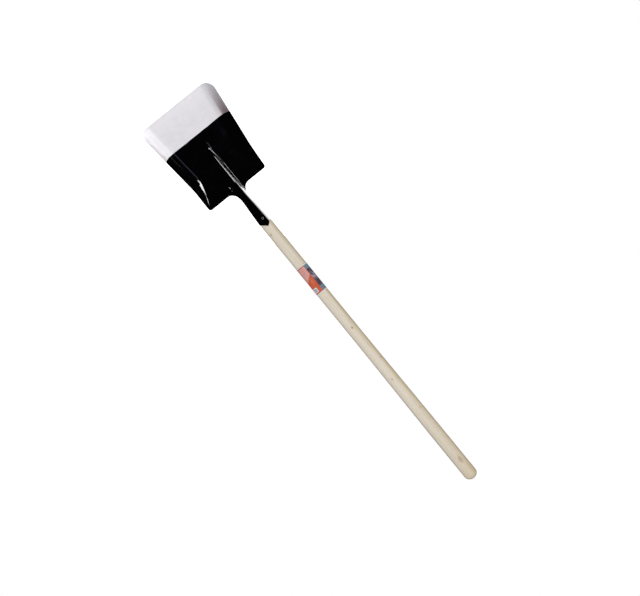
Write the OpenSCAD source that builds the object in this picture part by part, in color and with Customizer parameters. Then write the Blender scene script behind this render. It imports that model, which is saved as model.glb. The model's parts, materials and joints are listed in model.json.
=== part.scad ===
// Long-handled square-mouth shovel: one pressed steel head on a straight ash handle.
// The handle stands along +Z with the blade down, the hollow of the pan faces -Y,
// and the cutting edge rests on z = 0.

/* [Pan] */
// Length of the flat pan, from the cutting edge to the shoulders
pan_len = 333; // [300:1:360]
// Width at the cutting edge, measured to the corners as if they were square
mouth_w = 274; // [250:1:290]
// Width across the shoulders
back_w = 220; // [200:1:235]
// How far the sides spread again towards the shoulders, where they are no longer turned up
spread = 6; // [0:0.5:8]
// Thickness of the pressed sheet
sheet = 1.8; // [1.4:0.1:2.4]
// Height of the turned-up sides
wall_h = 27; // [15:1:35]
// Width of the turned-up sides, seen from the front
wall_w = 38; // [30:1:45]
// Steepness of the sides at their top edge, in degrees
wall_angle = 74; // [50:1:80]
// Radius of the two front corners
mouth_r = 30; // [15:1:40]
// Radius of the two back corners
back_r = 7; // [4:1:12]
// Radius where the shoulders run into the socket
neck_r = 22; // [16:1:28]
// Angle between the pan and the handle, in degrees
lift = 22; // [15:1:28]

/* [Frog] */
// Where the raised frog starts, from the cutting edge
frog_start = 148; // [120:1:180]
// Steepest angle of the frog's flanks, in degrees
flank_angle = 76; // [65:1:80]

/* [Socket] */
// Length of the socket, from the shoulders to the base of its tongue
socket_len = 128; // [100:1:150]
// Inside radius of the socket at the shoulders
neck_bore_r = 10.8; // [9:0.1:13]
// Inside radius of the socket at its top
mouth_bore_r = 18.6; // [17:0.1:20]
// How far the pointed tongue runs on past the socket
tongue = 17; // [10:1:25]
// Width of the open seam at the back of the socket
seam = 9; // [7.5:0.5:12]

/* [Handle] */
// Handle past the tip of the tongue
handle_out = 1003; // [700:1:1200]
// Radius of the handle above the socket
shaft_r = 19.1; // [18.8:0.1:20]
// Radius of the handle at its free end
grip_r = 21.2; // [20:0.1:23]
// Length of the straight round stretch at the free end
grip_len = 110; // [60:1:150]

/* [Rivet] */
// Radius of the rivet's shank
rivet_r = 2.5; // [2:0.1:3]
// Radius of the rivet's head
head_r = 4.3; // [3.6:0.1:6]
// Distance of the rivet below the tip of the tongue
rivet_down = 29; // [24:1:40]

/* [Label] */
// Distance of the label above the tip of the tongue
label_gap = 159; // [80:1:250]
// Length of the label along the handle
label_len = 104; // [60:1:140]
// Thickness of the label
label_t = 0.3; // [0.2:0.1:0.5]

/* [Hidden] */
$fn = 96;
wood_gap = 0.25;
hole_gap = 0.1;
// The socket's axis meets the shoulder line this far in front of the back of the pan.
neck_rise = 11;
wall_fade = [pan_len - 107, pan_len];
wall_w_back = 14;
// The frog rises quickly over nose_len to nose_h, then runs up a gentle slope.
nose_h = 4.5;
nose_len = 60;
frog_slope = 0.075;
frog_blend = 7;
crest_r = [5, neck_bore_r];
foot_r = [12, 6];
// Over this stretch the frog's legs roll in behind the handle and become a tube.
roll = [pan_len - 10, pan_len + 62];
// The line where the legs leave the pan lifts off its plane over this distance.
lift_off = 7;

// Columns of the sheet's grid on each side of the middle, and its rows.
ridge_cols = 9;
fillet_cols = 4;
floor_cols = 1;
wall_cols = 7;
cols = ridge_cols + fillet_cols + floor_cols + wall_cols;
pan_rows = 30;
socket_rows = 10;
rows = pan_rows + socket_rows;
row_bunch = 0.5;

taper = (mouth_bore_r - neck_bore_r) / socket_len;
neck_z = pan_len * cos(lift) + neck_rise * sin(lift);
shoulder_z = neck_z + socket_len;
tip_z = shoulder_z + tongue;
end_z = tip_z + handle_out;
rivet_z = tip_z - rivet_down;

// The pan's back stands this far in front of the handle's axis at the cutting edge, and the
// axis this far behind the origin, so that the origin is under the middle of the whole outline.
pan_y = pan_len * sin(lift) - neck_rise * cos(lift);
axis_y = (pan_y - mouth_r * sin(lift) + (wall_h + sheet) * cos(lift) - grip_r) / 2;

// The rivet's head sits in a shallow flat pressed into the socket.
head_h = 2.2;
head_sink = 0.6;
head_seat = neck_bore_r + taper * (rivet_z - neck_z) + sheet - head_sink;
// The washer bridges the seam and bears on its two edges, under the rivet's peened tail.
washer_r = 7;
washer_t = 1.6;
washer_top_r = neck_bore_r + taper * (rivet_z + washer_r - neck_z) + sheet;
washer_seat = sqrt(washer_top_r * washer_top_r - seam * seam / 4) + 0.05;
tail_r = 3.8;
tail_h = 1.7;
tail_seat = washer_seat + washer_t;

wood_tip_z = neck_z + 4;
wood_tip_r = neck_bore_r - wood_gap;
tip_round = 3;
swell_z = [tip_z + 0.4 * handle_out, end_z - grip_r - grip_len];
swell_steps = 12;
dome_h = 19;
dome_steps = 8;
glue_gap = 0.02;

function mix(a, b, t) = a + (b - a) * t;
function clamp01(t) = min(max(t, 0), 1);
function ease(range, x) = let (t = clamp01((x - range[0]) / (range[1] - range[0]))) t * t * (3 - 2 * t);
function blend_max(a, b, k) = (a + b + sqrt((a - b) * (a - b) + k * k)) / 2;
function unit(v) = v / norm(v);

// A line of the socket, in front of (side 1) or behind (side -1) its axis, as a height over the pan.
function socket_line(q, side) =
    let (
        start_q = pan_len - side * neck_bore_r * sin(lift),
        start_r = neck_rise + side * neck_bore_r * cos(lift),
        rise = sin(lift) + side * taper * cos(lift),
        run = cos(lift) - side * taper * sin(lift)
    ) start_r + (q - start_q) * rise / run;

// Half width of the pan at a distance q from the cutting edge.
function half_width(q) =
    mix(mouth_w / 2, back_w / 2 - spread, clamp01(q / pan_len)) + spread * ease(wall_fade, q);
function wall_width(q) = mix(wall_w, wall_w_back, ease(wall_fade, q));
function wall_height(q) = wall_h * (1 - ease(wall_fade, q));

// Height of the frog's crest, and of the plane that its legs stand on.
function crest(q) =
    let (
        d = max(q - frog_start, 0),
        nose = frog_slope * d + nose_h * ease([0, nose_len], d)
    ) d == 0 ? 0 : blend_max(nose, socket_line(q, 1), frog_blend * clamp01(d / 60));
function leg_base(q) =
    let (
        d = max(q - pan_len, 0),
        slope = (socket_line(pan_len + 1, -1) - socket_line(pan_len, -1))
    ) slope * (d - lift_off * (1 - exp(-d / lift_off)));

// Half a section across the frog: an arc over the crest, a straight flank and a fillet at the foot.
// Returns [x, height] at a fraction s of the way along it.
function frog_section(h, r1, r2, s) =
    let (
        turn = min(flank_angle, acos(max(1 - h / (r1 + r2), 0))),
        flank = max(0, (h - (r1 + r2) * (1 - cos(turn))) / sin(max(turn, 1))),
        arc1 = r1 * turn * PI / 180,
        arc2 = r2 * turn * PI / 180,
        at = s * (arc1 + flank + arc2),
        a1 = min(at, arc1) / r1 * 180 / PI,
        f = min(max(at - arc1, 0), flank),
        a2 = turn - max(at - arc1 - flank, 0) / r2 * 180 / PI
    ) [
        r1 * sin(a1) + f * cos(turn) + r2 * (sin(turn) - sin(a2)),
        h - r1 * (1 - cos(a1)) - f * sin(turn) - r2 * (cos(a2) - cos(turn))
    ];

// The foot of the frog: under the nose it closes to a narrow strip of flat pan.
function ridge_point(s, q) =
    let (
        t = clamp01((q - frog_start) / (pan_len - frog_start)),
        base = leg_base(q),
        h = max(crest(q) - base, 0),
        p = frog_section(h, mix(crest_r[0], crest_r[1], t), mix(foot_r[0], foot_r[1], t), s),
        least = 10 * s * (1 - ease([frog_start, frog_start + 40], q))
    ) [p[0] + least, q, base + p[1]];
function ridge_foot(q) = ridge_point(1, q)[0];

// A point on the inside of the socket, at a distance a from the neck and an angle from the front.
function socket_point(s, a) =
    let (
        r = max(neck_bore_r + taper * a, seam),
        angle = s * (180 - asin(seam / 2 / r)),
        out = r * cos(angle)
    ) [
        r * sin(angle),
        pan_len + a * cos(lift) - out * sin(lift),
        neck_rise + a * sin(lift) + out * cos(lift)
    ];

// Column c of the pan, 0 at the middle and cols at the side, at a distance q from the cutting edge.
function column_x(c, q) =
    let (foot = ridge_foot(min(q, pan_len)), toe = half_width(q) - wall_width(q))
    c <= ridge_cols + fillet_cols
        ? foot + neck_r * (1 - cos(90 * (c - ridge_cols) / fillet_cols))
        : c <= cols - wall_cols
        ? mix(foot + neck_r, toe, (c - ridge_cols - fillet_cols) / floor_cols)
        : toe + wall_width(q) * sin(wall_turn(c)) / sin(wall_angle);
function wall_turn(c) = wall_angle * max(c - cols + wall_cols, 0) / wall_cols;
function column_h(c, q) = wall_height(q) * (1 - cos(wall_turn(c))) / (1 - cos(wall_angle));

// Where a column starts at the rounded mouth and ends at the shoulder, the neck and the back corner.
function drop(over, r) = r - sqrt(max(r * r - over * over, 0));
function column_start(c) =
    c <= ridge_cols ? 0 : drop(max(column_x(c, 0) - mouth_w / 2 + mouth_r, 0), mouth_r);
function column_end(c) =
    c <= ridge_cols
        ? pan_len + neck_r
        : c <= ridge_cols + fillet_cols
        ? pan_len + neck_r * (1 - sin(90 * (c - ridge_cols) / fillet_cols))
        : pan_len - drop(max(column_x(c, pan_len) - back_w / 2 + back_r, 0), back_r);

// The back of the sheet as a grid: row i from the mouth up, column j from side to side.
// Above the shoulders only the middle columns go on, and roll up into the socket.
function row_part(i) = let (u = min(i / pan_rows, 1)) u * (1 + row_bunch * (1 - u));
function rim_a(s) =
    let (angle = s * (180 - asin(seam / 2 / mouth_bore_r)))
    socket_len + tongue * (1 - sin(min(angle, 90)));
function row_a(i, s) =
    let (start = neck_r / cos(lift)) mix(start, rim_a(s), max(i - pan_rows, 0) / socket_rows);
function sheet_point(i, j) =
    let (c = abs(j), side = j < 0 ? -1 : 1)
    let (
        s = min(c / ridge_cols, 1),
        a = row_a(i, s),
        q = i <= pan_rows
            ? mix(column_start(c), column_end(c), row_part(i))
            : pan_len + a * cos(lift),
        flat = c <= ridge_cols ? ridge_point(s, q) : [column_x(c, q), q, leg_base(q) + column_h(c, q)],
        fade = clamp01((c - ridge_cols) / fillet_cols),
        w = ease(roll, q) * (1 - fade) * (1 - fade),
        tube = socket_point(s, (q - pan_len) / cos(lift)),
        p = mix(flat, tube, w)
    ) [side * p[0], p[1], p[2]];

function row_wide(i) = i <= pan_rows ? cols : ridge_cols;
SHEET = [for (i = [0:rows]) [for (j = [-row_wide(i):row_wide(i)]) sheet_point(i, j)]];
function in_grid(i, j) = i >= 0 && i <= rows && abs(j) <= row_wide(i);
function point(i, j) = SHEET[i][j + row_wide(i)];
function next_point(i, j, step_i, step_j) =
    in_grid(i + step_i, j + step_j) ? point(i + step_i, j + step_j) : point(i, j);
function front_of(i, j) =
    let (
        along = next_point(i, j, 1, 0) - next_point(i, j, -1, 0),
        across = next_point(i, j, 0, -1) - next_point(i, j, 0, 1)
    ) point(i, j) + sheet * unit(cross(along, across));

// Numbers of the grid's points in one flat list, row by row, and of its outline.
function id(i, j) =
    i <= pan_rows
        ? i * (2 * cols + 1) + j + cols
        : (pan_rows + 1) * (2 * cols + 1) + (i - pan_rows - 1) * (2 * ridge_cols + 1) + j + ridge_cols;
point_count = id(rows, ridge_cols) + 1;
outline = concat(
    [for (j = [-cols:cols]) id(0, j)],
    [for (i = [1:pan_rows]) id(i, cols)],
    [for (j = [cols - 1:-1:ridge_cols]) id(pan_rows, j)],
    [for (i = [pan_rows + 1:rows]) id(i, ridge_cols)],
    [for (j = [ridge_cols - 1:-1:-ridge_cols]) id(rows, j)],
    [for (i = [rows - 1:-1:pan_rows]) id(i, -ridge_cols)],
    [for (j = [-ridge_cols - 1:-1:-cols]) id(pan_rows, j)],
    [for (i = [pan_rows - 1:-1:1]) id(i, -cols)]
);

// Each cell is two triangles, cut the same way on both faces and mirrored from side to side.
function cell(i, j) =
    j < 0
        ? [[id(i, j), id(i, j + 1), id(i + 1, j)], [id(i, j + 1), id(i + 1, j + 1), id(i + 1, j)]]
        : [[id(i, j), id(i, j + 1), id(i + 1, j + 1)], [id(i, j), id(i + 1, j + 1), id(i + 1, j)]];
function reversed(list) = [for (k = [len(list) - 1:-1:0]) list[k]];
function lifted(list) = [for (n = list) n + point_count];

module pressed_sheet() {
    back = [for (row = SHEET, p = row) p];
    front = [for (i = [0:rows], j = [-row_wide(i):row_wide(i)]) front_of(i, j)];
    cells = [
        for (i = [0:rows - 1], j = [-row_wide(i + 1):row_wide(i + 1) - 1], triangle = cell(i, j)) triangle
    ];
    count = len(outline);
    rim = [
        for (k = [0:count - 1])
            let (a = outline[k], b = outline[(k + 1) % count])
            each [[a, a + point_count, b], [b, a + point_count, b + point_count]]
    ];
    polyhedron(
        [for (p = concat(back, front)) [p[0], -p[2], p[1]]],
        concat(cells, [for (t = cells) lifted(reversed(t))], rim)
    );
}

// Sets a shape made along +Z along +Y instead, from a distance y behind the handle's axis.
module along_y(y, z) {
    translate([0, axis_y + y, z])
        rotate([-90, 0, 0])
            children();
}

module blade() {
    color("#17181b")
        difference() {
            translate([0, axis_y - pan_y, 0])
                rotate([-lift, 0, 0])
                    pressed_sheet();
            along_y(-2 * mouth_bore_r, rivet_z)
                cylinder(r = rivet_r + hole_gap, h = 2 * mouth_bore_r);
            along_y(-2 * mouth_bore_r, rivet_z)
                cylinder(r = head_r + hole_gap, h = 2 * mouth_bore_r - head_seat);
        }
}

module handle() {
    color("#d8c9b0")
        difference() {
            translate([0, axis_y, 0])
                rotate_extrude()
                    polygon(concat(
                        [[0, wood_tip_z], [wood_tip_r - tip_round, wood_tip_z]],
                        [[wood_tip_r, wood_tip_z + tip_round]],
                        [[shaft_r, neck_z + (shaft_r - neck_bore_r + wood_gap) / taper]],
                        [for (k = [0:swell_steps]) [
                            mix(shaft_r, grip_r, ease([0, swell_steps], k)),
                            mix(swell_z[0], swell_z[1], k / swell_steps)
                        ]],
                        [for (k = [0:dome_steps]) [
                            grip_r * cos(90 * k / dome_steps),
                            end_z - dome_h + dome_h * sin(90 * k / dome_steps)
                        ]]
                    ));
            along_y(-grip_r, rivet_z)
                cylinder(r = rivet_r + hole_gap, h = 2 * grip_r);
        }
}

// A low dome of radius r and height h, as points from its rim to its top.
function dome(r, h) =
    let (ball = (r * r + h * h) / 2 / h, half = asin(r / ball))
    [for (k = [0:dome_steps]) let (a = half * (1 - k / dome_steps)) [ball * sin(a), h - ball * (1 - cos(a))]];

module rivet() {
    color("#26272a")
        along_y(0, rivet_z)
            rotate_extrude()
                polygon(concat(
                    reversed([for (p = dome(head_r, head_h)) [p[0], -head_seat - p[1]]]),
                    [[rivet_r, -head_seat], [rivet_r, tail_seat]],
                    [for (p = dome(tail_r, tail_h)) [p[0], tail_seat + p[1]]]
                ));
}

module rivet_washer() {
    color("#8d9094")
        along_y(washer_seat, rivet_z)
            difference() {
                cylinder(r = washer_r, h = washer_t);
                translate([0, 0, -washer_t])
                    cylinder(r = rivet_r + hole_gap, h = 3 * washer_t);
            }
}

module label() {
    color("#b8604a")
        translate([0, axis_y, tip_z + label_gap])
            difference() {
                cylinder(r = shaft_r + glue_gap + label_t, h = label_len);
                translate([0, 0, -label_t])
                    cylinder(r = shaft_r + glue_gap, h = label_len + 2 * label_t);
            }
}

blade();
handle();
rivet();
rivet_washer();
label();
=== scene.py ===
import json
import math

import bpy
import numpy as np
from mathutils import Matrix, Quaternion, Vector


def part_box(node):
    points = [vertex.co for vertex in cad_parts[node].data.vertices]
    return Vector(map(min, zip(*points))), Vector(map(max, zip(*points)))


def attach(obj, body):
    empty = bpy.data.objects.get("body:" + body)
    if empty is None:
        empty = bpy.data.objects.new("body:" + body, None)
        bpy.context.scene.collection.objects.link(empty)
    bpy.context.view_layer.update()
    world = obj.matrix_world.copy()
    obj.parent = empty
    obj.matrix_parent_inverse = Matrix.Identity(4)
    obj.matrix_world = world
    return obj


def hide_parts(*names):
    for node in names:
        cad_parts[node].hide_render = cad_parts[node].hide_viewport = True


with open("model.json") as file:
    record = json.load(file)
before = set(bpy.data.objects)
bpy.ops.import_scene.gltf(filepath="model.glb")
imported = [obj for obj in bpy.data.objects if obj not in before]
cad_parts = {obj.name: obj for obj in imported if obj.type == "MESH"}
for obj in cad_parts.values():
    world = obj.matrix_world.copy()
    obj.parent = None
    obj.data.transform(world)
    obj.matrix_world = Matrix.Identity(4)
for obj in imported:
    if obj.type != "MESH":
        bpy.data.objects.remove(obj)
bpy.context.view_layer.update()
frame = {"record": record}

MM = 0.001
ROOT = "root"


# ---------------------------------------------------------------- places, from the frame

def middle(node):
    low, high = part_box(node)
    return (Vector(low) + Vector(high)) / 2


mounts = {m["name"]: m for m in frame["record"]["mounts"]}
pan_axis = mounts["pan_back"]["axis"]
pan_point = mounts["pan_back"]["pos_m"]

LIFT = math.atan2(-pan_axis[2], pan_axis[1])
AXIS_Y = middle("handle").y
TIP_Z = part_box("blade")[1][2]
WOOD_LOW_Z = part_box("handle")[0][2]
END_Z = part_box("handle")[1][2]
RIVET_Z = middle("rivet").z
# The back of the pan crosses z = 0 here.
PAN_Y = pan_point[1] - pan_point[2] * math.tan(LIFT)


# ---------------------------------------------------------------- sizes of the pressed head

SHEET = 1.8 * MM
EDGE = SHEET / 2
PAN_LEN = 333 * MM
MOUTH_W = 274 * MM
BACK_W = 220 * MM
SPREAD = 6 * MM
WALL_H = 27 * MM
WALL_W = 38 * MM
WALL_W_BACK = 14 * MM
WALL_TURN = math.radians(74)
WALL_FADE = (PAN_LEN - 107 * MM, PAN_LEN)
MOUTH_R = 30 * MM
BACK_R = 7 * MM
NECK_R = 22 * MM
NECK_RISE = 11 * MM
FROG_START = 148 * MM
NOSE_H = 4.5 * MM
NOSE_LEN = 60 * MM
FROG_SLOPE = 0.075
FROG_BLEND = 7 * MM
FLANK_TURN = math.radians(76)
NEARLY_FLAT = 0.02
CREST_R = (5 * MM, 10.8 * MM)
FOOT_R = (12 * MM, 6 * MM)
SOCKET_LEN = 128 * MM
BORE_LOW_R = 10.8 * MM
BORE_TOP_R = 18.6 * MM
TONGUE = 17 * MM
SEAM = 9 * MM
ROLL = (PAN_LEN - 10 * MM, PAN_LEN + 62 * MM)
LIFT_OFF = 7 * MM
TAPER = (BORE_TOP_R - BORE_LOW_R) / SOCKET_LEN
PAINT_START = 115 * MM
PAINT_T = 0.12 * MM
# The edge of the paint wanders in two waves: height, length and phase.
PAINT_WAVES = [(0.35 * MM, 23 * MM, 0), (0.2 * MM, 7.1 * MM, 1.3)]
# Ahead of the frog its columns run on as a narrow flat strip, which closes up under the nose.
STRIP_W = 10 * MM
STRIP_FADE = 40 * MM


def mix(a, b, t):
    return a + (b - a) * t


def ease(low, high, x):
    t = np.clip((x - low) / (high - low), 0, 1)
    return t * t * (3 - 2 * t)


def unit(v):
    return v / np.maximum(np.linalg.norm(v, axis=-1, keepdims=True), 1e-12)


def socket_line(q, side):
    """Height over the pan of the socket's front (side 1) or back (side -1) line."""
    start_q = PAN_LEN - side * BORE_LOW_R * math.sin(LIFT)
    start_h = NECK_RISE + side * BORE_LOW_R * math.cos(LIFT)
    rise = math.sin(LIFT) + side * TAPER * math.cos(LIFT)
    run = math.cos(LIFT) - side * TAPER * math.sin(LIFT)
    return start_h + (q - start_q) * rise / run


def half_width(q):
    straight = mix(MOUTH_W / 2, BACK_W / 2 - SPREAD, np.clip(q / PAN_LEN, 0, 1))
    return straight + SPREAD * ease(*WALL_FADE, q) - EDGE


def wall_width(q):
    return mix(WALL_W, WALL_W_BACK, ease(*WALL_FADE, q))


def crest(q):
    d = np.maximum(q - FROG_START, 0)
    nose = FROG_SLOPE * d + NOSE_H * ease(0, NOSE_LEN, d)
    line = socket_line(q, 1)
    k = FROG_BLEND * np.clip(d / NOSE_LEN, 0, 1)
    return np.where(d > 0, (nose + line + np.sqrt((nose - line) ** 2 + k * k)) / 2, 0)


def leg_base(q):
    """The plane that the frog's legs stand on: the pan, then the back of the socket."""
    d = np.maximum(q - PAN_LEN, 0)
    slope = (socket_line(PAN_LEN + MM, -1) - socket_line(PAN_LEN, -1)) / MM
    return slope * (d - LIFT_OFF * (1 - np.exp(-d / LIFT_OFF)))


def ridge_point(s, q):
    """(x, height) across the frog: an arc over the crest, a straight flank, a fillet."""
    t = np.clip((q - FROG_START) / (PAN_LEN - FROG_START), 0, 1)
    base = leg_base(q)
    h = np.maximum(crest(q) - base, 0)
    r1 = mix(*CREST_R, t)
    r2 = mix(*FOOT_R, t)
    turn = np.minimum(FLANK_TURN, np.arccos(np.clip(1 - h / (r1 + r2), 0, 1)))
    steep = np.sin(np.maximum(turn, NEARLY_FLAT))
    flank = np.maximum(0, (h - (r1 + r2) * (1 - np.cos(turn))) / steep)
    at = s * ((r1 + r2) * turn + flank)
    a1 = np.minimum(at, r1 * turn) / r1
    f = np.minimum(np.maximum(at - r1 * turn, 0), flank)
    a2 = turn - np.maximum(at - r1 * turn - flank, 0) / r2
    x = r1 * np.sin(a1) + f * np.cos(turn) + r2 * (np.sin(turn) - np.sin(a2))
    y = h - r1 * (1 - np.cos(a1)) - f * np.sin(turn) - r2 * (np.cos(a2) - np.cos(turn))
    strip = STRIP_W * s * (1 - ease(FROG_START, FROG_START + STRIP_FADE, q))
    return x + strip, base + y


def socket_point(s, a):
    r = np.maximum(BORE_LOW_R + TAPER * a, SEAM)
    angle = s * (math.pi - np.arcsin((SEAM / 2 + EDGE) / r))
    out = r * np.cos(angle)
    q = PAN_LEN + a * math.cos(LIFT) - out * math.sin(LIFT)
    return r * np.sin(angle), q, NECK_RISE + a * math.sin(LIFT) + out * math.cos(LIFT)


# A column's place runs 0 to 1 over the frog, to 2 over the fillet, to 3 over the floor
# and to 4 up the wall.

def column_x(c, q):
    foot = ridge_point(1.0, np.minimum(q, PAN_LEN))[0]
    toe = half_width(q) - wall_width(q)
    fillet = foot + NECK_R * (1 - np.cos(math.pi / 2 * np.clip(c - 1, 0, 1)))
    floor = mix(foot + NECK_R, toe, np.clip(c - 2, 0, 1))
    wall = toe + wall_width(q) * np.sin(WALL_TURN * np.clip(c - 3, 0, 1)) / math.sin(WALL_TURN)
    return np.where(c <= 2, fillet, np.where(c <= 3, floor, wall))


def column_h(c, q):
    height = WALL_H * (1 - ease(*WALL_FADE, q))
    turned = 1 - np.cos(WALL_TURN * np.clip(c - 3, 0, 1))
    return height * turned / (1 - math.cos(WALL_TURN))


def corner_drop(over, r):
    over = np.clip(over, 0, r)
    return r - np.sqrt(r * r - over * over)


def mouth_start(c):
    over = column_x(c, np.zeros_like(c)) - (MOUTH_W / 2 - EDGE) + MOUTH_R
    return np.where(c <= 1, 0, corner_drop(over, MOUTH_R)) + EDGE


def paint_start(c):
    x = np.where(c <= 1, c * STRIP_W, column_x(c, np.full_like(c, PAINT_START)))
    return PAINT_START + sum(high * np.sin(x / long + phase) for high, long, phase in PAINT_WAVES)


def shoulder_end(c):
    fillet = PAN_LEN + NECK_R * (1 - np.sin(math.pi / 2 * np.clip(c - 1, 0, 1)))
    over = column_x(c, np.full_like(c, PAN_LEN)) - (BACK_W / 2 - EDGE) + BACK_R
    return np.where(c <= 2, fillet, PAN_LEN - corner_drop(over, BACK_R)) - EDGE


def sheet_points(c, q):
    """The back of the sheet, (x, q, height) over the pan's plane, for columns c >= 0."""
    s = np.minimum(c, 1)
    ridge_x, ridge_h = ridge_point(s, q)
    flat_x = np.where(c <= 1, ridge_x, column_x(c, q))
    flat_h = np.where(c <= 1, ridge_h, leg_base(q) + column_h(c, q))
    w = ease(*ROLL, q) * (1 - np.clip(c - 1, 0, 1)) ** 2
    tube = socket_point(s, (q - PAN_LEN) / math.cos(LIFT))
    return np.stack([mix(flat_x, tube[0], w), mix(q, tube[1], w), mix(flat_h, tube[2], w)], -1)


def to_world(p):
    """From (x, q, height) over the pan to the row frame."""
    y = PAN_Y + p[..., 1] * math.sin(LIFT) - p[..., 2] * math.cos(LIFT)
    z = p[..., 1] * math.cos(LIFT) + p[..., 2] * math.sin(LIFT)
    return np.stack([p[..., 0], y, z], -1)


RIDGE_COLS = 22
FILLET_COLS = 12
FLOOR_COLS = 8
WALL_COLS = 20
PAN_ROWS = 110
SOCKET_ROWS = 46
# The pan's rows crowd together towards its back, where it bends most.
ROW_BUNCH = 0.5
RIM_STEPS = 4


def column_places():
    parts = [
        np.arange(RIDGE_COLS + 1) / RIDGE_COLS,
        1 + np.arange(1, FILLET_COLS + 1) / FILLET_COLS,
        2 + np.arange(1, FLOOR_COLS + 1) / FLOOR_COLS,
        3 + np.arange(1, WALL_COLS + 1) / WALL_COLS,
    ]
    half = np.concatenate(parts)
    return np.concatenate([-half[:0:-1], half])


def sheet_rows(start):
    """Grid of points on the sheet's back, row by row from the mouth up, and which are real."""
    place = column_places()
    c = np.abs(place)
    side = np.where(place < 0, -1.0, 1.0)
    s = np.minimum(c, 1)
    rows = []
    for i in range(PAN_ROWS + 1):
        u = i / PAN_ROWS
        rows.append(mix(start(c), shoulder_end(c), u * (1 + ROW_BUNCH * (1 - u))))
    low = (NECK_R - EDGE) / math.cos(LIFT)
    angle = s * (math.pi - math.asin(SEAM / 2 / BORE_TOP_R))
    rim = SOCKET_LEN - EDGE + TONGUE * (1 - np.sin(np.minimum(angle, math.pi / 2)))
    for i in range(1, SOCKET_ROWS + 1):
        rows.append(PAN_LEN + mix(low, rim, i / SOCKET_ROWS) * math.cos(LIFT))
    q = np.array(rows)
    points = to_world(sheet_points(np.broadcast_to(c, q.shape), q))
    points[..., 0] *= side
    real = np.ones(q.shape, bool)
    real[PAN_ROWS + 1:, c > 1] = False
    return points, real


def grid_normals(points, real):
    def shifted(step, axis):
        moved = np.roll(points, -step, axis)
        there = np.roll(real, -step, axis)
        edge = [slice(None), slice(None)]
        edge[axis] = -1 if step > 0 else 0
        there[tuple(edge)] = False
        return np.where((there & real)[..., None], moved, points)

    along = shifted(1, 0) - shifted(-1, 0)
    across = shifted(-1, 1) - shifted(1, 1)
    return unit(np.cross(along, across))


def outline(columns, wide):
    """(row, column) round the T-shaped grid, against the clock seen from the front."""
    top = PAN_ROWS + SOCKET_ROWS
    last = columns - 1
    left = columns // 2 - wide
    right = columns // 2 + wide
    loop = [(0, j) for j in range(columns)]
    loop += [(i, last) for i in range(1, PAN_ROWS + 1)]
    loop += [(PAN_ROWS, j) for j in range(last - 1, right - 1, -1)]
    loop += [(i, right) for i in range(PAN_ROWS + 1, top + 1)]
    loop += [(top, j) for j in range(right - 1, left - 1, -1)]
    loop += [(i, left) for i in range(top - 1, PAN_ROWS - 1, -1)]
    loop += [(PAN_ROWS, j) for j in range(left - 1, -1, -1)]
    return loop + [(i, 0) for i in range(PAN_ROWS - 1, 0, -1)]


def rim_layers(middle_points, normals, loop, reach):
    """Points of the sheet's rounded edge, layer by layer from its back to its front."""
    rows, cols = np.array(loop).T
    edge_mid = middle_points[rows, cols]
    edge_normal = normals[rows, cols]
    tangent = np.roll(edge_mid, -1, 0) - np.roll(edge_mid, 1, 0)
    out = unit(np.cross(tangent, edge_normal))
    layers = []
    for k in range(1, RIM_STEPS):
        turn = math.pi * (k / RIM_STEPS - 0.5)
        layers.append(edge_mid + reach * (math.cos(turn) * out + math.sin(turn) * edge_normal))
    return layers


def sheet_faces(number, real, count):
    """The grid's cells on the back of the sheet and on its front, count points later."""
    faces = []
    for i in range(real.shape[0] - 1):
        for j in range(real.shape[1] - 1):
            if real[i + 1, j] and real[i + 1, j + 1]:
                quad = [number[i, j], number[i, j + 1], number[i + 1, j + 1], number[i + 1, j]]
                faces.append([count + n for n in quad])
                faces.append(quad[::-1])
    return faces


def rim_faces(edge, count):
    """The cells of the rounded edge, whose own points come after those of both faces."""
    ring = len(edge)
    rims = [list(edge)]
    rims += [[2 * count + (k - 1) * ring + n for n in range(ring)] for k in range(1, RIM_STEPS)]
    rims += [list(edge + count)]
    faces = []
    for low, high in zip(rims, rims[1:]):
        for n in range(ring):
            m = (n + 1) % ring
            faces.append([low[n], low[m], high[m], high[n]])
    return faces


def pressed_sheet(name, start, proud):
    """The head as one closed sheet with rounded edges, standing proud by a skin's thickness."""
    back, real = sheet_rows(start)
    normals = grid_normals(back, real)
    count = int(real.sum())
    number = np.full(real.shape, -1)
    number[real] = np.arange(count)
    middle_points = back + normals * EDGE
    reach = EDGE + proud
    loop = outline(real.shape[1], RIDGE_COLS)
    layers = [(middle_points - normals * reach)[real], (middle_points + normals * reach)[real]]
    layers += rim_layers(middle_points, normals, loop, reach)
    edge = np.array([number[place] for place in loop])
    faces = sheet_faces(number, real, count) + rim_faces(edge, count)
    return add_mesh(name, np.concatenate(layers), faces)


# ---------------------------------------------------------------- meshes

def add_mesh(name, points, faces):
    mesh = bpy.data.meshes.new(name)
    mesh.from_pydata([tuple(map(float, p)) for p in points], [], [list(map(int, f)) for f in faces])
    mesh.validate()
    mesh.polygons.foreach_set("use_smooth", [True] * len(mesh.polygons))
    mesh.update()
    piece = bpy.data.objects.new(name, mesh)
    bpy.context.scene.collection.objects.link(piece)
    return piece


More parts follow.
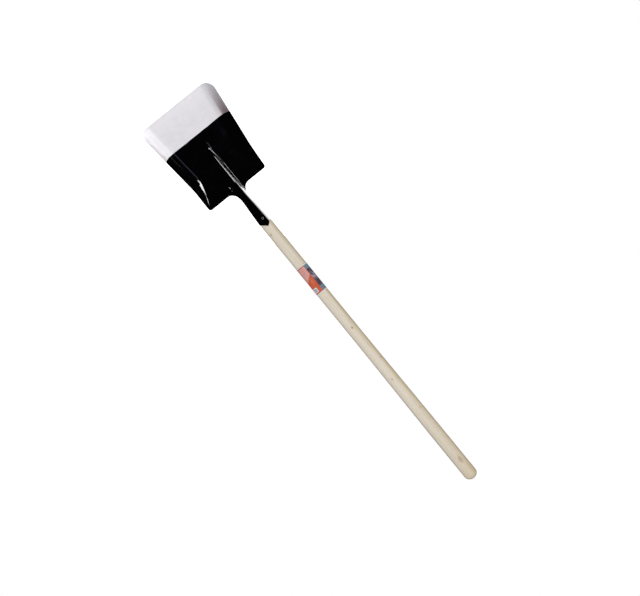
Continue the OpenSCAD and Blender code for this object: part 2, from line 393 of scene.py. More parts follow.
def lathe(name, profile, steps, place, shape=None):
    """Turns a profile of (radius, height) about an axis; its first and last radius are 0.

    place maps (across, deep, height) arrays to the row frame, and shape, where given,
    returns the radius at an angle and a height, so that turned wood isn't perfectly round."""
    profile = np.array(profile)
    angles = np.arange(steps) * 2 * math.pi / steps
    inner = profile[1:-1]
    radius = np.repeat(inner[:, :1], steps, 1)
    height = np.repeat(inner[:, 1:], steps, 1)
    turn = np.broadcast_to(angles, radius.shape)
    if shape is not None:
        radius = shape(radius, turn, height)
    rings = place(radius * np.sin(turn), -radius * np.cos(turn), height)
    ends = place(np.zeros(2), np.zeros(2), profile[[0, -1], 1])
    points = np.concatenate([rings.reshape(-1, 3), ends])
    faces = []
    for i in range(len(inner) - 1):
        for j in range(steps):
            k = (j + 1) % steps
            faces.append([i * steps + j, i * steps + k, (i + 1) * steps + k, (i + 1) * steps + j])
    last = (len(inner) - 1) * steps
    low = len(points) - 2
    high = len(points) - 1
    for j in range(steps):
        k = (j + 1) % steps
        faces.append([low, k, j])
        faces.append([high, last + j, last + k])
    return add_mesh(name, points, faces)


def upright(x, y, z):
    return np.stack([x, y + AXIS_Y, z], -1)


def towards_back(x, y, z):
    """A lathe's axis laid along +Y through the rivet; heights start at the handle's axis."""
    return np.stack([x, z + AXIS_Y, RIVET_Z - y], -1)


def arc(centre, radii, start, end, steps):
    """Points of an ellipse's arc as (radius, height), angles in degrees from the outward side."""
    x, y = centre
    wide, tall = radii
    turns = np.radians(np.linspace(start, end, steps))
    return [(x + wide * math.cos(t), y + tall * math.sin(t)) for t in turns]


# ---------------------------------------------------------------- handle

SHAFT_R = 19.1 * MM
GRIP_R = 21.2 * MM
WOOD_GAP = 0.25 * MM
DOME_H = 19 * MM
GRIP_LEN = 110 * MM
SWELL = (TIP_Z + 0.4 * (END_Z - TIP_Z), END_Z - GRIP_R - GRIP_LEN)
# The wood's lower edge is rounded off: how far in from its side, and how far up.
LOW_EDGE = [(3 * MM, 0), (0.8 * MM, 1 * MM)]
LOW_EDGE_H = 3 * MM
WOOD_STEPS = 128
TAPER_RINGS = 30
SHAFT_RINGS = 220
DOME_RINGS = 16
UNEVEN = 0.07 * MM
UNEVEN_START = 80 * MM


def handle_profile():
    low_r = BORE_LOW_R - WOOD_GAP
    neck_z = PAN_LEN * math.cos(LIFT) + NECK_RISE * math.sin(LIFT)
    full_z = neck_z + (SHAFT_R - low_r) / TAPER
    points = [(0, WOOD_LOW_Z)]
    points += [(low_r - inset, WOOD_LOW_Z + up) for inset, up in LOW_EDGE]
    for z in np.linspace(WOOD_LOW_Z + LOW_EDGE_H, full_z, TAPER_RINGS):
        points.append((min(low_r + TAPER * (z - neck_z), SHAFT_R), z))
    for z in np.linspace(full_z, END_Z - DOME_H, SHAFT_RINGS)[1:]:
        points.append((mix(SHAFT_R, GRIP_R, float(ease(*SWELL, z))), z))
    points += arc((0, END_Z - DOME_H), (GRIP_R, DOME_H), 4, 88, DOME_RINGS)
    return points + [(0, END_Z)]


def hand_turned(radius, turn, height):
    """The shaft is a little out of round above the socket, and never above its true radius."""
    free = ease(TIP_Z, TIP_Z + UNEVEN_START, height)
    wander = np.sin(2 * turn + height * 5) + 0.6 * np.sin(3 * turn - height * 11 + 1)
    ripple = 0.5 * np.sin(height * 61 + 2 * np.sin(turn)) + 0.3 * np.sin(height * 143 + turn)
    # 2.4 is as much as the waves add up to.
    return radius - free * UNEVEN * (2.4 + wander + ripple)


# ---------------------------------------------------------------- materials

class Nodes:
    """Short names for building one material's nodes."""

    def __init__(self, name):
        self.material = bpy.data.materials.new(name)
        self.material.use_nodes = True
        self.tree = self.material.node_tree
        self.shader = self.tree.nodes["Principled BSDF"]
        self.place = self.tree.nodes.new("ShaderNodeTexCoord").outputs["Object"]

    def add(self, kind, inputs=(), output=0, **settings):
        node = self.tree.nodes.new(kind)
        for key, value in settings.items():
            setattr(node, key, value)
        for key, value in dict(inputs).items():
            self.feed(node.inputs[key], value)
        return node.outputs[output]

    def feed(self, socket, value):
        if isinstance(value, bpy.types.NodeSocket):
            self.tree.links.new(value, socket)
        else:
            socket.default_value = value

    def set(self, **inputs):
        for key, value in inputs.items():
            self.feed(self.shader.inputs[key.replace("_", " ")], value)

    def split(self, vector):
        node = self.tree.nodes.new("ShaderNodeSeparateXYZ")
        self.feed(node.inputs[0], vector)
        return node.outputs

    def math(self, operation, a, b=0.0):
        return self.add("ShaderNodeMath", {0: a, 1: b}, operation=operation)

    def length(self, a, b):
        squares = self.math("ADD", self.math("MULTIPLY", a, a), self.math("MULTIPLY", b, b))
        return self.math("SQRT", squares)

    def scaled(self, x, y, z, vector=None):
        inputs = {0: vector or self.place, 1: (x, y, z)}
        return self.add("ShaderNodeVectorMath", inputs, operation="MULTIPLY")

    def noise(self, vector, scale, detail=3.0, rough=0.5, output="Fac"):
        inputs = {"Vector": vector, "Scale": scale, "Detail": detail, "Roughness": rough}
        return self.add("ShaderNodeTexNoise", inputs, output)

    def between(self, value, low, high, to_low=0.0, to_high=1.0):
        inputs = {"Value": value, "From Min": low, "From Max": high, "To Min": to_low, "To Max": to_high}
        return self.add("ShaderNodeMapRange", inputs)

    def blend(self, amount, a, b, kind="MIX"):
        inputs = {0: amount, 6: a, 7: b}
        return self.add("ShaderNodeMix", inputs, 2, data_type="RGBA", blend_type=kind)

    def bump(self, height, distance, strength=1.0, normal=None):
        inputs = {"Height": height, "Distance": distance, "Strength": strength}
        if normal is not None:
            inputs["Normal"] = normal
        return self.add("ShaderNodeBump", inputs)


def rgb(red, green, blue):
    """A colour given as seen on a screen, 0 to 255, as the linear value a material takes."""
    def linear(v):
        v /= 255
        return v / 12.92 if v <= 0.04045 else ((v + 0.055) / 1.055) ** 2.4
    return (linear(red), linear(green), linear(blue), 1.0)


def wall_mask(n, inwards, soft):
    """1 on the inner faces of the two side walls, from so far inwards of their edges, else 0."""
    place = n.split(n.place)
    normal_x = n.split(n.add("ShaderNodeNewGeometry", output="Normal"))["X"]
    taper = (MOUTH_W / 2 - BACK_W / 2 + SPREAD) / (PAN_LEN * math.cos(LIFT))
    out = n.math("ADD", n.math("ABSOLUTE", place["X"]), n.math("MULTIPLY", place["Z"], taper))
    start = MOUTH_W / 2 - inwards
    near = n.between(out, start, start + soft)
    inner = n.between(n.math("MULTIPLY", n.math("SIGN", place["X"]), normal_x), -0.05, -0.2)
    return n.math("MULTIPLY", near, inner)


def paint_material():
    n = Nodes("gloss_black_paint")
    dust = n.between(n.noise(n.place, 55, 6, 0.62), 0.42, 0.75)
    specks = n.between(n.noise(n.place, 900, 2, 0.5), 0.66, 0.74)
    scuffs = n.between(n.noise(n.scaled(9, 9, 160), 12, 4, 0.55), 0.63, 0.8)
    worn = n.math("MAXIMUM", n.math("MULTIPLY", specks, 0.35), n.math("MULTIPLY", scuffs, 0.5))
    colour = n.blend(n.math("MULTIPLY", dust, 0.35), rgb(3, 3, 4), rgb(10, 10, 12))
    colour = n.blend(n.math("MULTIPLY", worn, 0.25), colour, rgb(36, 36, 40))
    rough = n.math("ADD", n.between(dust, 0, 1, 0.035, 0.06), n.math("MULTIPLY", worn, 0.1))
    flow = n.bump(n.noise(n.place, 26, 2, 0.4), 0.5 * MM, 0.35)
    peel = n.bump(n.noise(n.place, 420, 2, 0.5), 0.02 * MM, 0.5, flow)
    # The dip ran thin up the inside of the walls and dried without shine, except at their ends.
    z = n.split(n.place)["Z"]
    dull = n.math("MULTIPLY", wall_mask(n, 28 * MM, 6 * MM), n.between(z, 0.25, 0.225))
    n.set(Base_Color=colour, Roughness=rough, Normal=peel)
    n.set(Specular_IOR_Level=n.between(dull, 0, 1, 0.42, 0.0))
    n.set(Coat_Weight=n.between(dull, 0, 1, 0.25, 0.0), Coat_Roughness=0.03)
    return n.material


def steel_material():
    n = Nodes("bare_steel")
    brushed = n.noise(n.scaled(9, 1400, 1400), 1, 5, 0.6)
    mottle = n.noise(n.place, 38, 5, 0.6)
    grains = n.noise(n.place, 700, 3, 0.6)
    marks = n.between(n.noise(n.scaled(30, 340, 340), 1, 3, 0.6), 0.62, 0.72)
    tone = n.blend(n.between(mottle, 0.3, 0.7), rgb(229, 226, 231), rgb(240, 237, 241))
    # Use has polished the steel towards the cutting edge.
    place = n.split(n.place)
    polished = n.between(place["Z"], 0.06, 0.0, 0.0, 0.5)
    tone = n.blend(polished, tone, rgb(252, 251, 254))
    tone = n.blend(n.math("MULTIPLY", n.between(grains, 0.4, 0.7), 0.42), tone, rgb(186, 183, 190))
    tone = n.blend(n.math("MULTIPLY", marks, 0.2), tone, rgb(150, 147, 154))
    # Painted shade darkens the inside of the -X wall towards the paint, the wall that faces away from
    # the light.
    painted_shade = n.math("MULTIPLY", wall_mask(n, 27 * MM, 7 * MM), n.between(place["X"], 0.0, -0.01))
    painted_shade = n.math("MULTIPLY", painted_shade, n.between(place["Z"], 0.02, 0.1))
    cloudy = n.between(n.noise(n.place, 75, 4, 0.6), 0.3, 0.6, 0.75, 1.0)
    tone = n.blend(n.math("MULTIPLY", painted_shade, cloudy), tone, rgb(150, 134, 140))
    rough = n.math("ADD", n.between(mottle, 0.3, 0.7, 0.42, 0.56), n.math("MULTIPLY", brushed, 0.1))
    lines = n.bump(brushed, 0.03 * MM, 0.5)
    pits = n.bump(grains, 0.03 * MM, 0.4, lines)
    n.set(Base_Color=tone, Metallic=0.45, Roughness=rough, Normal=pits)
    return n.material


# Knots and stains on the shaft, in millimetres and degrees: distance above the tongue's tip,
# angle round from the front (towards -X), half length along, half width across, darkness.
KNOTS = [
    (27, -40, 3.5, 2.2, 0.5),
    (406, 2, 2.6, 1.7, 0.95),
    (532, 44, 3.4, 2.0, 0.4),
    (607, -14, 3.0, 2.0, 0.45),
    (727, 26, 3.6, 2.0, 0.36),
    (930, 7, 14.0, 6.5, 0.34),
    (258, 150, 5.0, 3.2, 0.7),
    (684, 205, 3.4, 2.2, 0.6),
]
RING_WIDTH = 3.1 * MM


def knots(n, turn, z):
    """(how deep in a knot, how deep in the disturbed grain round it), both 0 to the knot's darkness."""
    core, halo = 0.0, 0.0
    for distance, angle, along, across, dark in KNOTS:
        dz = n.math("DIVIDE", n.math("SUBTRACT", z, TIP_Z + distance * MM), along * MM)
        off = n.math("SUBTRACT", turn, math.radians(angle if angle <= 180 else angle - 360))
        away = n.length(dz, n.math("MULTIPLY", off, SHAFT_R / (across * MM)))
        core = n.math("MAXIMUM", core, n.between(away, 0.5, 1.15, dark, 0.0))
        halo = n.math("MAXIMUM", halo, n.between(away, 0.6, 3.4, dark, 0.0))
    return core, halo


def early_wood(n, x, y, halo):
    """1 in the open-pored part of each growth ring of a straight-grained log, cut by a shaft
    that wanders through the rings."""
    drift = n.noise(n.scaled(0.1, 0.1, 1.6), 1, 1, 0.4)
    swirl = n.noise(n.scaled(30, 30, 5), 1, 3, 0.55)
    from_pith_x = n.math("ADD", x, n.between(drift, 0.3, 0.7, 18 * MM, 30 * MM))
    from_pith_y = n.math("ADD", y, n.between(drift, 0.3, 0.7, 52 * MM, 38 * MM))
    wavy = n.math("ADD", n.length(from_pith_x, from_pith_y), n.math("MULTIPLY", swirl, 3.5 * MM))
    wavy = n.math("ADD", wavy, n.math("MULTIPLY", halo, 2.2 * MM))
    ring = n.math("FRACT", n.math("MULTIPLY", wavy, 1 / RING_WIDTH))
    return n.math("MAXIMUM", n.between(ring, 0.0, 0.28, 1.0, 0.0), n.between(ring, 0.93, 1.0))


def wood_material():
    n = Nodes("natural_ash")
    x, from_frame_y, z = n.split(n.place)
    y = n.math("SUBTRACT", from_frame_y, AXIS_Y)
    turn = n.math("ARCTAN2", n.math("MULTIPLY", x, -1.0), n.math("MULTIPLY", y, -1.0))
    near_knot, halo = knots(n, turn, z)
    early = early_wood(n, x, y, halo)
    pores = n.between(n.noise(n.scaled(1900, 1900, 42), 1, 2, 0.6), 0.56, 0.66)
    flecks = n.between(n.noise(n.scaled(620, 620, 26), 1, 3, 0.6), 0.45, 0.75)
    streaks = n.noise(n.scaled(85, 85, 2.2), 1, 4, 0.6)

    # Sapwood is palest; the heartwood side is a wide tan band along the shaft's -X flank.
    band = n.math("MULTIPLY", n.between(turn, 0.35, 0.75), n.between(turn, 1.9, 1.5))
    band = n.math("MULTIPLY", band, n.between(streaks, 0.25, 0.6, 0.55, 1.0))
    tone = n.blend(n.between(streaks, 0.3, 0.72), rgb(240, 232, 217), rgb(230, 218, 198))
    tone = n.blend(n.math("MULTIPLY", band, 0.75), tone, rgb(214, 194, 154))
    tone = n.blend(n.math("MULTIPLY", early, 0.16), tone, rgb(190, 166, 132))
    tone = n.blend(n.math("MULTIPLY", n.math("MULTIPLY", pores, early), 0.32), tone, rgb(128, 100, 70))
    tone = n.blend(n.math("MULTIPLY", flecks, 0.07), tone, rgb(190, 166, 132))
    tone = n.blend(n.math("MULTIPLY", halo, 0.4), tone, rgb(196, 146, 104))
    tone = n.blend(near_knot, tone, rgb(112, 66, 38))
    # The rounded end cuts the grain and soaks up oil, and hands have darkened the grip.
    end_grain = n.between(z, END_Z - 60 * MM, END_Z - 4 * MM, 0.0, 0.36)
    tone = n.blend(end_grain, tone, rgb(204, 180, 128))
    handled = n.between(z, END_Z - 450 * MM, END_Z - 150 * MM, 0.0, 0.4)
    handled = n.math("MULTIPLY", handled, n.noise(n.place, 22, 4, 0.6))
    tone = n.blend(handled, tone, rgb(196, 174, 138))

    # Painted shade: the wood is darkened where it is seen edge on, along its outline.
    painted_edge_shade = n.between(n.add("ShaderNodeLayerWeight", {"Blend": 0.5}, 1), 0.48, 0.8)
    tone = n.blend(n.math("MULTIPLY", painted_edge_shade, 0.7), tone, rgb(124, 114, 98))
    rough = n.math("ADD", n.between(streaks, 0.3, 0.7, 0.5, 0.6), n.math("MULTIPLY", pores, 0.1))
    grain = n.math("ADD", n.math("MULTIPLY", early, -0.5), n.math("MULTIPLY", pores, -0.8))
    grain = n.math("ADD", grain, n.math("MULTIPLY", near_knot, -0.6))
    raised = n.bump(grain, 0.09 * MM, 0.6)
    sanded = n.bump(n.noise(n.scaled(150, 150, 900), 1, 3, 0.6), 0.02 * MM, 0.4, raised)
    n.set(Base_Color=tone, Roughness=rough, Normal=sanded, Specular_IOR_Level=0.35)
    return n.material


def metal_material(name, base, dark, metallic, rough):
    n = Nodes(name)
    blotch = n.noise(n.place, 240, 5, 0.6)
    scratch = n.noise(n.scaled(3000, 400, 3000), 1, 4, 0.6)
    tone = n.blend(n.between(blotch, 0.35, 0.7), base, dark)
    spread = n.between(blotch, 0.3, 0.7, rough - 0.08, rough + 0.1)
    spread = n.math("ADD", spread, n.math("MULTIPLY", scratch, 0.1))
    dents = n.bump(n.noise(n.place, 620, 3, 0.5), 0.08 * MM, 0.5)
    scored = n.bump(scratch, 0.02 * MM, 0.4, dents)
    n.set(Base_Color=tone, Metallic=metallic, Roughness=spread, Normal=scored)
    return n.material


def ink_material(name, base, dark, faded=0.0, lines=0.0):
    """Printed paper: ink over fibres, with rows of fine pale strokes in place of small print."""
    n = Nodes(name)
    fibres = n.noise(n.scaled(900, 900, 500), 1, 4, 0.6)
    cloud = n.noise(n.place, 60, 4, 0.6)
    tone = n.blend(n.between(cloud, 0.35, 0.65), base, dark)
    if lines:
        wave = {"Vector": n.place, "Scale": 52.0, "Distortion": 0.4}
        rows = n.add("ShaderNodeTexWave", wave, "Fac", wave_type="BANDS", bands_direction="Z")
        broken = n.between(n.noise(n.scaled(420, 420, 60), 1, 2, 0.6), 0.46, 0.52)
        strokes = n.math("MULTIPLY", n.between(rows, 0.72, 0.84), broken)
        tone = n.blend(n.math("MULTIPLY", strokes, lines), tone, rgb(244, 236, 230))
    bare = n.between(fibres, 0.55, 0.75, 0.0, 0.12 + faded)
    tone = n.blend(bare, tone, rgb(240, 236, 230))
    rough = n.between(cloud, 0.3, 0.7, 0.38, 0.5)
    raised = n.bump(fibres, 0.03 * MM, 0.5)
    n.set(Base_Color=tone, Roughness=rough, Normal=raised, Specular_IOR_Level=0.45)
    return n.material


def patch_material(low, high):
    """A dark printed patch, paler across its middle: soft blotches, not a picture of anything."""
    n = Nodes("label_dark_patch")
    along = n.between(n.split(n.place)["Z"], low, high)
    cloud = n.noise(n.place, 120, 5, 0.65)
    drifted = n.math("ADD", along, n.between(cloud, 0.3, 0.7, -0.12, 0.12))
    pale = n.math("MULTIPLY", n.between(drifted, 0.24, 0.42), n.between(drifted, 0.66, 0.5))
    tone = n.blend(n.between(cloud, 0.35, 0.68), rgb(60, 44, 58), rgb(112, 100, 114))
    tone = n.blend(n.math("MULTIPLY", pale, 0.75), tone, rgb(190, 176, 190))
    n.set(Base_Color=tone, Roughness=0.42, Specular_IOR_Level=0.45)
    return n.material


# ---------------------------------------------------------------- label

LABEL_T = 0.3 * MM
# The paper itself is this much of it, and the lap rises by this much of it.
PAPER_PART = 0.9
LAP_RISE = 1.15
LABEL_GAP = 0.02 * MM
LABEL_LAP = 14
LABEL_STEP = 4
LABEL_ROWS = 40
# Past 180 degrees the paper rides up over its own start, and its last degrees have come loose.
RIDE_UP = (168, 178)
LOOSE = (184, 194)
LOOSE_LIFT = 0.25 * MM
WRINKLE = 0.03 * MM
# The two panels at the front meet on a slanting line: its middle and how far its ends are off.
SLANT_AT = 0.46
SLANT = 0.11
SLANT_MIDDLE = -32
SLANT_HALF = 44
SLANT_REACH = 0.25
PATCH = (0.18, 0.80)
# The print, each panel over the ones before: ink, angles and heights. Angles run in degrees
# from the front towards -X, and heights from 0 by the socket to 1 at the far end.
PANELS = [
    ("border", (12, 15), (0.035, 0.965)),
    ("slate", (15, 130), (0.035, 0.965)),
    ("patch", (15, 74), PATCH),
    ("border", (-128, 12), (0.035, 0.965)),
    ("salmon", (-124, 12), (0.06, SLANT_AT)),
    ("orange", (-124, 12), (SLANT_AT, 0.94)),
    ("paper", (-70, -22), (0.77, 0.925)),
    ("box", (-62, -30), (0.80, 0.90)),
]


def label_inks(low, high):
    patch_ends = [mix(low, high, height) for height in PATCH]
    return {
        "paper": ink_material("label_paper_white", rgb(238, 235, 230), rgb(228, 224, 218)),
        "border": ink_material("label_red", rgb(206, 74, 60), rgb(196, 66, 54)),
        "salmon": ink_material("label_salmon", rgb(224, 160, 150), rgb(214, 146, 138), 0.08, 0.45),
        "orange": ink_material("label_orange", rgb(218, 98, 54), rgb(208, 90, 50), 0.0, 0.16),
        "box": ink_material("label_pale_box", rgb(176, 188, 206), rgb(156, 170, 194), 0.1),
        "slate": ink_material("label_slate", rgb(112, 138, 158), rgb(98, 124, 146), 0.05, 0.2),
        "patch": patch_material(*patch_ends),
    }


def label_ink(angle, height):
    found = "paper"
    for ink, (start, end), (low, high) in PANELS:
        if start <= angle < end and low <= height < high:
            found = ink
    return found


def label_grid():
    """The wrap's angles and heights: even steps, and every edge of a panel."""
    angles = {-180, 180, 180 + LABEL_LAP} | set(range(LABEL_STEP - 180, 180 + LABEL_LAP, LABEL_STEP))
    heights = {round(k / LABEL_ROWS, 4) for k in range(LABEL_ROWS + 1)}
    for panel in PANELS:
        angles |= set(panel[1])
        heights |= set(panel[2])
    return sorted(angles), sorted(heights)


def label_point(angle, height, outside, low, high):
    """A point of the paper's inner or outer face, on a wrap from low to high."""
    lap = LABEL_T * LAP_RISE * float(ease(*RIDE_UP, angle))
    loose = LOOSE_LIFT * float(ease(*LOOSE, angle)) * (0.4 + 0.6 * abs(2 * height - 1))
    wrinkle = WRINKLE * math.sin(angle * 0.21 + 5 * height) * math.sin(9 * height)
    thick = LABEL_T * PAPER_PART if outside else 0
    radius = SHAFT_R + LABEL_GAP + lap + loose + wrinkle + thick
    turn = math.radians(angle)
    aside = min(max((angle - SLANT_MIDDLE) / SLANT_HALF, -1), 1)
    slant = SLANT * aside * max(0, 1 - abs(height - SLANT_AT) / SLANT_REACH)
    z = mix(low, high, height - slant)
    return (-radius * math.sin(turn), AXIS_Y - radius * math.cos(turn), z)


def label_rim(wide, tall):
    """(row, column) round the edge of the strip of paper."""
    rim = [(0, column) for column in range(wide)]
    rim += [(row, wide - 1) for row in range(1, tall)]
    rim += [(tall - 1, column) for column in range(wide - 2, -1, -1)]
    return rim + [(row, 0) for row in range(tall - 2, 0, -1)]


def label_faces(angles, heights):
    """The strip's faces and the ink of each: every cell takes the ink of the panel it lies in."""
    wide = len(angles)
    tall = len(heights)

    def number(side, row, column):
        return side * wide * tall + row * wide + column

    faces, ink = [], []
    for row in range(tall - 1):
        for column in range(wide - 1):
            corners = [(row, column), (row, column + 1), (row + 1, column + 1), (row + 1, column)]
            mid_angle = (angles[column] + angles[column + 1]) / 2
            mid_height = (heights[row] + heights[row + 1]) / 2
            faces.append([number(1, *c) for c in reversed(corners)])
            ink.append(label_ink(mid_angle, mid_height))
            faces.append([number(0, *c) for c in corners])
            ink.append("paper")
    rim = label_rim(wide, tall)
    for a, b in zip(rim, rim[1:] + rim[:1]):
        faces.append([number(1, *a), number(1, *b), number(0, *b), number(0, *a)])
        ink.append("paper")
    return faces, ink


def label_wrap():
    """The glued wrap: one closed strip of paper, lapped over itself at the back, with its print."""
    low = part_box("label")[0][2]
    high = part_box("label")[1][2]
    angles, heights = label_grid()
    points = [label_point(a, h, side, low, high) for side in (0, 1) for h in heights for a in angles]
    faces, ink = label_faces(angles, heights)
    piece = add_mesh("label_wrap", points, faces)
    inks = label_inks(low, high)
    for material in inks.values():
        piece.data.materials.append(material)
    names = list(inks)
    piece.data.polygons.foreach_set("material_index", [names.index(name) for name in ink])
    return piece


# ---------------------------------------------------------------- rivet and washer

SHANK_R = 2.5 * MM
HEAD_R = 4.3 * MM
HEAD_H = 2.2 * MM
TAIL_R = 3.8 * MM
TAIL_H = 1.7 * MM
# Straight part of the rivet's domes, and the rounding of their rims.
DOME_BASE = 0.4 * MM
RIM_R = 0.3 * MM
STRUCK_OVER = 0.5 * MM
STRUCK = 0.05
RIVET_STEPS = 48
WASHER_R = 7.0 * MM
WASHER_HOLE_R = 2.6 * MM
WASHER_SOFT = 0.35 * MM
WASHER_STEPS = 64


def depths(node):
    """The node's front and back, measured from the handle's axis."""
    low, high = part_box(node)
    return low[1] - AXIS_Y, high[1] - AXIS_Y


def rivet_piece():
    front, back = depths("rivet")
    head = front + HEAD_H
    tail = back - TAIL_H
    profile = [(0, front)]
    profile += arc((0, head - DOME_BASE), (HEAD_R, HEAD_H - DOME_BASE), -86, 0, 14)
    profile += arc((HEAD_R - RIM_R, head - RIM_R), (RIM_R, RIM_R), 0, 90, 4)
    profile += [(SHANK_R, head), (SHANK_R, tail)]
    profile += arc((TAIL_R - RIM_R, tail + RIM_R), (RIM_R, RIM_R), -90, 0, 4)
    profile += arc((0, tail + DOME_BASE), (TAIL_R, TAIL_H - DOME_BASE), 0, 84, 12)
    profile += [(0, back)]

    def peened(radius, turn, height):
        # Only the hammered tail is uneven.
        struck = ease(tail, tail + STRUCK_OVER, height)
        return radius * (1 - struck * STRUCK * (1 + np.sin(3 * turn + 0.7) * np.sin(5 * turn)))

    return lathe("rivet_body", profile, RIVET_STEPS, towards_back, peened)


def washer_piece():
    front, back = depths("rivet_washer")
    inner = WASHER_HOLE_R + WASHER_SOFT
    outer = WASHER_R - WASHER_SOFT
    low = front + WASHER_SOFT
    high = back - WASHER_SOFT
    section = []
    corners = [((outer, low), -90), ((outer, high), 0), ((inner, high), 90), ((inner, low), 180)]
    for centre, start in corners:
        section += arc(centre, (WASHER_SOFT, WASHER_SOFT), start, start + 90, 5)
    count = len(section)
    points, faces = [], []
    for j in range(WASHER_STEPS):
        turn = 2 * math.pi * j / WASHER_STEPS
        for r, h in section:
            points.append((r * math.sin(turn), AXIS_Y + h, RIVET_Z - r * math.cos(turn)))
    for j in range(WASHER_STEPS):
        k = (j + 1) % WASHER_STEPS
        for i in range(count):
            m = (i + 1) % count
            faces.append([j * count + i, j * count + m, k * count + m, k * count + i])
    return add_mesh("washer_ring", points, faces)


# ---------------------------------------------------------------- build

def finish_piece(piece, node, material=None):
    if material is not None:
        piece.data.materials.append(material)
    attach(piece, ROOT)
    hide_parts(node)


def build():
    steel = pressed_sheet("blade_steel", mouth_start, 0.0)
    finish_piece(steel, "blade", steel_material())
    paint = pressed_sheet("blade_paint", paint_start, PAINT_T)
    finish_piece(paint, "blade", paint_material())
    handle = lathe("handle_shaft", handle_profile(), WOOD_STEPS, upright, hand_turned)
    finish_piece(handle, "handle", wood_material())
    finish_piece(label_wrap(), "label")
    rivet_look = metal_material("rivet_black", rgb(66, 66, 70), rgb(104, 101, 100), 0.5, 0.3)
    finish_piece(rivet_piece(), "rivet", rivet_look)
    washer_look = metal_material("washer_zinc", rgb(196, 197, 202), rgb(158, 158, 164), 0.5, 0.34)
    finish_piece(washer_piece(), "rivet_washer", washer_look)


# ---------------------------------------------------------------- studio

FLOOR_HALF = 14.0
FLOOR_SEEN = 0.93


def floor():
    """A pale floor. It glows for the camera alone, so that it looks as white as the wall behind."""
    n = Nodes("pale_floor")
    grain = n.noise(n.place, 3, 4, 0.5)
    tone = n.blend(n.between(grain, 0.3, 0.7), (0.9, 0.9, 0.9, 1), (0.93, 0.93, 0.93, 1))
    even = n.add("ShaderNodeLightPath", output="Is Camera Ray")
    n.set(Base_Color=tone, Roughness=0.9, Specular_IOR_Level=0.1)
    n.set(Emission_Color=(1, 1, 1, 1), Emission_Strength=n.math("MULTIPLY", even, FLOOR_SEEN))
    signs = [(-1, -1), (1, -1), (1, 1), (-1, 1)]
    corners = [(FLOOR_HALF * x, FLOOR_HALF * y, 0) for x, y in signs]
    plane = add_mesh("floor", corners, [[0, 1, 2, 3]])
    plane.data.materials.append(n.material)
    plane.visible_glossy = False


# The lights stand round the middle of the head.
STUDIO = Vector((0, AXIS_Y, RIVET_Z * 0.6))
LIGHTS_AWAY = 9.0
CAMERA_TURN = math.radians(3.06)


def towards(turn, rise):
    """A direction, in degrees round from the camera towards -X and up from level."""
    round_by = CAMERA_TURN - math.radians(turn)
    up_by = math.radians(rise)
    level = Vector((math.sin(round_by), -math.cos(round_by), 0))
    return level * math.cos(up_by) + Vector((0, 0, math.sin(up_by)))


def softbox(name, turn, rise, wide, tall, glow, tint=(1, 1, 1), away=LIGHTS_AWAY, tilt=0):
    """A soft panel of an even glow that spans so many degrees as seen from the shovel's head."""
    light = bpy.data.lights.new(name, "AREA")
    light.shape = "RECTANGLE"
    light.size = 2 * away * math.tan(math.radians(wide / 2))
    light.size_y = 2 * away * math.tan(math.radians(tall / 2))
    light.energy = glow * math.pi * light.size * light.size_y
    light.color = tint
    lamp = bpy.data.objects.new(name, light)
    lamp.location = STUDIO + away * towards(turn, rise)
    lamp.rotation_mode = "QUATERNION"
    square_on = towards(turn, rise).to_track_quat("Z", "Y")
    lamp.rotation_quaternion = square_on @ Quaternion((0, 0, 1), math.radians(tilt))
    lamp.visible_camera = False
    bpy.context.scene.collection.objects.link(lamp)
    return lamp


def shine_on(lamp, pieces):
    """Keeps a panel for the reflections of a few pieces, as a card held close to them would be."""
    lamp.visible_diffuse = False
    group = bpy.data.collections.new(lamp.name + "_pieces")
    for piece in pieces:
        group.objects.link(piece)
    lamp.light_linking.receiver_collection = group


SKY_LIGHT = 0.54


def sky():
    """White behind the shovel, softer where it lights it, and never mirrored by polished paint."""
    world = bpy.data.worlds.new("studio")
    bpy.context.scene.world = world
    world.use_nodes = True
    tree = world.node_tree
    back = tree.nodes["Background"]
    back.inputs[0].default_value = (1, 1, 1, 1)
    seen = tree.nodes.new("ShaderNodeLightPath")
    level = tree.nodes.new("ShaderNodeMapRange")
    level.inputs["To Min"].default_value = SKY_LIGHT
    level.inputs["To Max"].default_value = 1.0
    tree.links.new(seen.outputs["Is Camera Ray"], level.inputs["Value"])
    tree.links.new(level.outputs[0], back.inputs[1])
    world.cycles_visibility.glossy = False


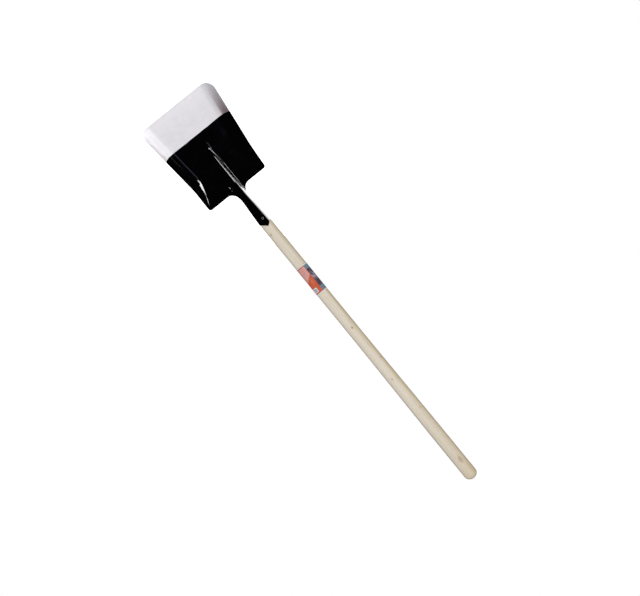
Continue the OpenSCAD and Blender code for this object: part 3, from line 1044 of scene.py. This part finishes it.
def lights():
    """Two broad lights for the whole shovel, and cards that only the head mirrors.

    Each panel is given as degrees round and up, degrees wide and tall, and glow."""
    steel = [bpy.data.objects["blade_steel"]]
    painted = [bpy.data.objects[name] for name in ("blade_paint", "rivet_body", "washer_ring")]
    head = painted + steel
    for lamp in (softbox("key", 4, 22, 40, 40, 1.95), softbox("back_key", 184, 22, 40, 40, 1.5)):
        lamp.visible_glossy = False

    # The white band down the socket and the pale edge of the wall.
    shine_on(softbox("side_card", 112.5, -8, 77, 28, 10), head)
    # The crescent where a side wall runs out, and the dim line along the wall's foot.
    shine_on(softbox("high_card", 29.5, 41.2, 19, 3.6, 22), head)
    shine_on(softbox("bend_card", 25, 38.3, 12, 2.2, 12, tilt=12), painted)
    shine_on(softbox("foot_card", 12.5, 37.2, 5, 2.2, 1.1, (0.72, 0.64, 1.0)), head)
    # The two lines along the frog.
    shine_on(softbox("frog_card", 108, 9.5, 36, 11, 13), painted)
    shine_on(softbox("ridge_card", 64, 21, 14, 8, 18), painted)
    # A reflection from below for the back of the pan, and two that even out the bare steel.
    shine_on(softbox("low_card", 0, -90, 140, 140, 0.5, away=1.7), head)
    shine_on(softbox("steel_card", 66, 26, 92, 54, 1.7), steel)
    shine_on(softbox("flank_card", -38, 30, 30, 36, 1.3), steel)


CAMERA_ROLL = math.radians(140.78)
CAMERA_AWAY = 6.0
CAMERA_LENS = 109.33
SENSOR_WIDTH = 36.0
# The photo's middle is this far towards +X from the shaft's axis.
CAMERA_ASIDE = 17.3 * MM


def camera():
    """Level with the middle of the shaft, and rolled so that the blade is at the upper left."""
    back = Vector((math.sin(CAMERA_TURN), -math.cos(CAMERA_TURN), 0))
    up = Vector((0, 0, 1))
    right = up.cross(back)
    rolled_right = math.cos(CAMERA_ROLL) * right + math.sin(CAMERA_ROLL) * up
    rolled_up = back.cross(rolled_right)
    data = bpy.data.cameras.new("camera")
    data.lens = CAMERA_LENS
    data.sensor_width = SENSOR_WIDTH
    cam = bpy.data.objects.new("camera", data)
    bpy.context.scene.collection.objects.link(cam)
    aim = Vector((CAMERA_ASIDE, AXIS_Y, END_Z / 2))
    turn = Matrix((rolled_right, rolled_up, back)).transposed().to_4x4()
    cam.matrix_world = Matrix.Translation(aim + back * CAMERA_AWAY) @ turn
    bpy.context.scene.camera = cam


build()
floor()
sky()
lights()
camera()
bpy.context.scene.view_settings.view_transform = "Standard"
